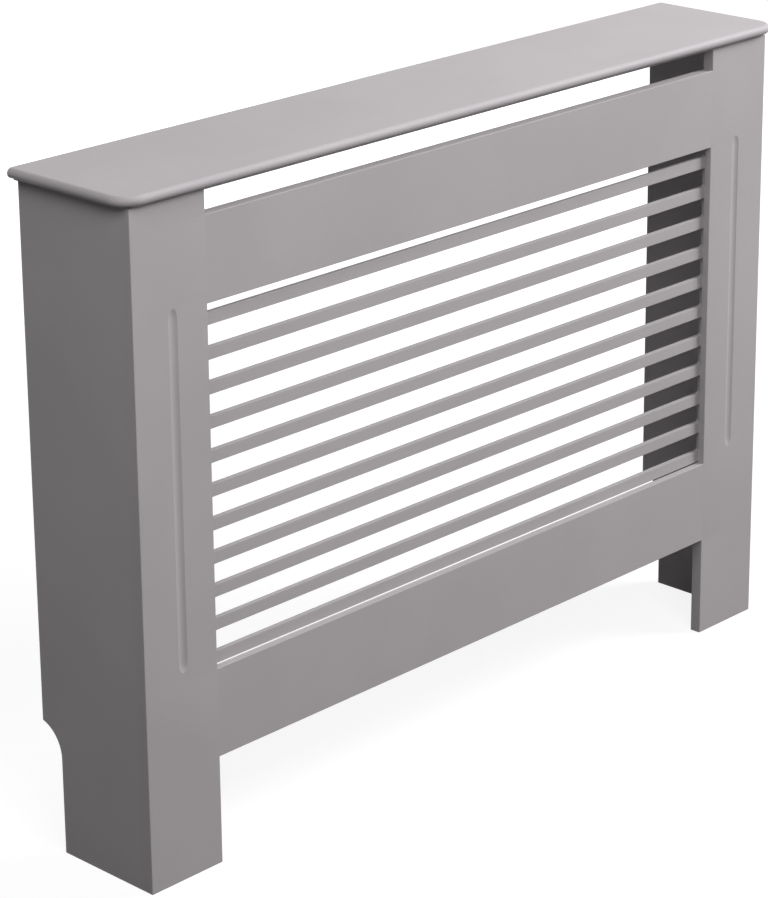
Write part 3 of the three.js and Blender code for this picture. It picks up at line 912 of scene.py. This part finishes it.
def add_lid(paint):
    """The lid is moulded all round at twice its depth, then cut off flat at the wall."""
    depth = lid_high.y - lid_low.y
    nose_low = lid_high.z - 2 * NOSE_RADIUS
    cove = nose_low - lid_low.z
    nose_middle = lid_high.z - NOSE_RADIUS
    lid = block(
        "moulded_lid",
        (lid_low.x, lid_low.y, nose_low),
        (lid_high.x, lid_high.y + depth, lid_high.z),
    )
    soften(lid, LID_CORNER_RADIUS, lambda p: near(p.z, nose_middle), LID_CORNER_STEPS)
    soften(lid, NOSE_RADIUS - NOSE_SPARE, lambda p: near(p.z, lid_high.z) or near(p.z, nose_low), NOSE_STEPS)

    def is_underside(face):
        return near(face.calc_center_median().z, nose_low) and face.normal.z < -SQUARE_ON

    with edit(lid, "FACE"):
        choose(lid, "faces", is_underside)
        for step in range(COVE_STEPS):
            before = math.pi / 2 * (1 - step / COVE_STEPS)
            after = math.pi / 2 * (1 - (step + 1) / COVE_STEPS)
            inward = cove * (math.cos(after) - math.cos(before))
            down = cove * (math.sin(before) - math.sin(after))
            bpy.ops.mesh.inset(thickness=inward, depth=down, use_even_offset=True)
    ring_cut(lid, (0, lid_high.y, 0), (0, 1, 0), fill=True, clear=True)
    tidy(lid, LID_MERGE_ROOM)
    finish_board(lid, "lid", ALONG_Z, paint)


def rebate_tool():
    """The space for the grille in the back of the frame, with a little room all round."""
    return block(
        "rebate",
        (grille_low.x - REBATE_ROOM, grille_low.y, grille_low.z - REBATE_ROOM),
        (grille_high.x + REBATE_ROOM, grille_high.y + MOUTH, grille_high.z + REBATE_ROOM),
    )


def groove_tool(middle_x):
    """The form that a round-nosed cutter sweeps as it dips in, runs up the stile and lifts out again."""
    radius = (GROOVE_WIDTH ** 2 / 4 + GROOVE_DEPTH ** 2) / (2 * GROOVE_DEPTH)
    bottom = bottom_rail_high.z
    top = top_rail_low.z + GROOVE_HEAD_RISE
    quarter = [math.pi / 2 * i / GROOVE_END_STEPS for i in range(GROOVE_END_STEPS + 1)]
    points = [(radius * math.sin(a), bottom + GROOVE_RUN_OUT * (1 - math.cos(a))) for a in quarter]
    points += [(radius * math.sin(a), top - GROOVE_RUN_OUT * (1 - math.cos(a))) for a in reversed(quarter)]
    tool = wind(outline("groove", points), GROOVE_SIDES)
    tool.location = (middle_x, front_y + GROOVE_DEPTH - radius, 0)
    return settle(tool)


def beside_a_rail(z):
    return top_rail_low.z < z < top_rail_high.z or bottom_rail_low.z < z < bottom_rail_high.z


def add_stiles(paint):
    """Each stile has soft edges where no board meets it, a rebate in its back and a groove in its front."""
    for hand, sign in HANDS:
        node = f"{hand}_stile"
        low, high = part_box(node)
        stile = block(f"{hand}_grooved_stile", low, high)
        inner_x = sign * opening_half
        outer_x = sign * body_half
        for level in (bottom_rail_low.z, bottom_rail_high.z, top_rail_low.z, top_rail_high.z):
            ring_cut(stile, (0, 0, level), (0, 0, 1))

        def meets_a_board(p):
            return (
                (near(p.x, inner_x) and beside_a_rail(p.z))
                or near(p.z, lid_underside)
                or (near(p.x, outer_x) and near(p.y, frame_back))
            )

        soften(stile, ARRIS, lambda p: not meets_a_board(p))
        combine(stile, rebate_tool())
        groove_x = sign * (body_half - GROOVE_INSET)
        combine(stile, groove_tool(groove_x))

        def is_groove_rim(edge):
            half = GROOVE_WIDTH / 2 + MOUTH
            beside = all(near(v.co.y, front_y) and near(v.co.x, groove_x, half) for v in edge.verts)
            return beside and edge.is_manifold and edge.calc_face_angle() > FLAT_ANGLE

        with edit(stile, "EDGE"):
            choose(stile, "edges", is_groove_rim)
            bpy.ops.mesh.bevel(
                offset=GROOVE_RIM, segments=GROOVE_RIM_STEPS, profile=0.5, affect="EDGES", clamp_overlap=True
            )
        finish_board(stile, node, ALONG_Y, paint)


def add_rails(paint):
    """Each rail has soft edges along its length, and square ends where it meets the stiles."""
    for node in RAILS:
        rail = block(f"{node}_board", *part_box(node))
        soften(rail, ARRIS, lambda p: not near(abs(p.x), opening_half))
        combine(rail, rebate_tool())
        finish_board(rail, node, ALONG_Y, paint)


def add_sides(paint):
    """Each side panel has a straight cut-out for the skirting board that curves out to the back edge."""
    for hand, _ in HANDS:
        node = f"{hand}_side_panel"
        low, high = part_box(node)
        panel = block(f"{hand}_side_board", low, high)
        notch_front = back_y - SKIRTING_DEPTH
        arch_top = low.z + SKIRTING_STRAIGHT + SKIRTING_RADIUS
        tool = block(
            "skirting",
            (low.x - MOUTH, notch_front, low.z - 2 * SKIRTING_RADIUS),
            (high.x + MOUTH, notch_front + 2 * SKIRTING_RADIUS, arch_top),
        )

        def on_the_arch(p):
            return near(p.y, notch_front) and near(p.z, arch_top)

        soften(tool, SKIRTING_RADIUS, on_the_arch, SKIRTING_STEPS)
        combine(panel, tool)
        soften(panel, ARRIS, lambda p: not (near(p.y, frame_back) or near(p.z, lid_underside)))
        finish_board(panel, node, ALONG_X, paint)


def add_grille(paint):
    """One thin sheet with a row of slots, each a block with rounded ends that is copied up the sheet."""
    sheet = block("slatted_sheet", grille_low, grille_high)
    pitch = SLOT_HEIGHT + SLAT_HEIGHT
    height = grille_high.z - grille_low.z
    count = int((height + SLAT_HEIGHT) / pitch)
    border = (height - count * pitch + SLAT_HEIGHT) / 2
    slot_half = grille_high.x - SLOT_SIDE_BORDER
    low_z = grille_low.z + border
    slot = block(
        "slot",
        (-slot_half, grille_low.y - MOUTH, low_z),
        (slot_half, grille_high.y + MOUTH, low_z + SLOT_HEIGHT),
    )
    middle_y = (grille_low.y + grille_high.y) / 2

    def on_a_slot_corner(p):
        return near(abs(p.x), slot_half) and near(p.y, middle_y)

    soften(slot, SLOT_END_RADIUS, on_a_slot_corner, SLOT_END_STEPS)
    row = slot.modifiers.new("row", "ARRAY")
    row.count = count
    row.use_relative_offset = False
    row.use_constant_offset = True
    row.constant_offset_displace = (0, 0, pitch)
    pick_only(slot)
    bpy.ops.object.modifier_apply(modifier=row.name)
    combine(sheet, slot)
    soften(sheet, GRILLE_ARRIS, lambda p: near(p.y, grille_low.y) or near(p.y, grille_high.y))
    finish_board(sheet, "slatted_grille", ALONG_Y, paint)


# ---- Floor, background, lights and camera ----

def grey(level):
    return level, level, level, 1


def add_floor():
    """A white floor that still takes the object's shadow, and throws little light back up."""
    bpy.ops.mesh.primitive_plane_add(size=2 * FLOOR_HALF, location=(0, 0, -FLOOR_DROP))
    floor = bpy.context.object
    floor.name = "floor"
    material = bpy.data.materials.new("white floor")
    material.use_nodes = True
    material.node_tree.nodes.clear()
    nodes = Nodes(material.node_tree)
    place = nodes.add("TexCoord").outputs["Object"]
    distance = nodes.add("VectorMath", {0: place}, operation="LENGTH").outputs["Value"]
    strength = nodes.spread(distance, *FLOOR_GLOW_REACH, *FLOOR_GLOW)
    glow = nodes.add("Emission", {"Strength": strength}).outputs[0]
    lit = nodes.add("BsdfDiffuse", {"Color": grey(FLOOR_SHOWN)}).outputs[0]
    bounce = nodes.add("BsdfDiffuse", {"Color": grey(FLOOR_BOUNCE)}).outputs[0]
    seen = nodes.add("AddShader", {0: glow, 1: lit}).outputs[0]
    surface = nodes.add("MixShader", {0: nodes.shown_directly(), 1: bounce, 2: seen}).outputs[0]
    nodes.add("OutputMaterial", {"Surface": surface})
    floor.data.materials.append(material)


def add_world():
    """A white background, and a faint light from all round."""
    world = bpy.data.worlds.new("studio")
    bpy.context.scene.world = world
    world.use_nodes = True
    world.node_tree.nodes.clear()
    nodes = Nodes(world.node_tree)
    ambient = nodes.add("Background", {"Color": AMBIENT, "Strength": AMBIENT_LEVEL}).outputs[0]
    white = nodes.add("Background", {"Color": WHITE, "Strength": 1.0}).outputs[0]
    surface = nodes.add("MixShader", {0: nodes.shown_directly(), 1: ambient, 2: white}).outputs[0]
    nodes.add("OutputWorld", {"Surface": surface})


def add_lights():
    """The key stands at the right, with weaker softboxes for the front, left side, lid and open back."""
    for name, place, aim, width, height, power in SOFTBOXES:
        lamp = bpy.data.lights.new(name, "AREA")
        lamp.shape = "RECTANGLE"
        lamp.size = width
        lamp.size_y = height
        lamp.energy = power
        box = bpy.data.objects.new(name, lamp)
        bpy.context.scene.collection.objects.link(box)
        box.location = place
        box.rotation_euler = (Vector(aim) - Vector(place)).to_track_quat("-Z", "Y").to_euler()


def add_camera():
    """The view's turn is an axis times an angle: its rows are right, down and forward in the picture."""
    lens = bpy.data.cameras.new("camera")
    lens.sensor_fit = "VERTICAL"
    lens.sensor_height = SENSOR
    lens.lens = FOCAL_PIXELS * SENSOR / IMAGE_HEIGHT
    lens.shift_x = (IMAGE_WIDTH / 2 - CENTRE_PIXEL[0]) / IMAGE_HEIGHT
    lens.shift_y = (CENTRE_PIXEL[1] - IMAGE_HEIGHT / 2) / IMAGE_HEIGHT
    camera = bpy.data.objects.new("camera", lens)
    bpy.context.scene.collection.objects.link(camera)
    turn = Vector(VIEW_TURN)
    picture = Matrix.Rotation(turn.length, 3, turn.normalized())
    right, down, forward = picture[0], picture[1], picture[2]
    place = Matrix((right, -down, -forward)).transposed().to_4x4()
    place.translation = CAMERA_PLACE
    camera.matrix_world = place
    bpy.context.scene.camera = camera


# ---- The whole scene ----

add_camera()
steel = zinc_plating()
paint = satin_paint()
add_cams(steel, cast_zinc())
add_dowels({grain: beech(grain) for grain in "XYZ"})
add_screws(steel)
add_brackets(steel)
add_lid(paint)
add_stiles(paint)
add_rails(paint)
add_sides(paint)
add_grille(paint)
add_floor()
add_world()
add_lights()
bpy.context.scene.view_settings.view_transform = "Standard"
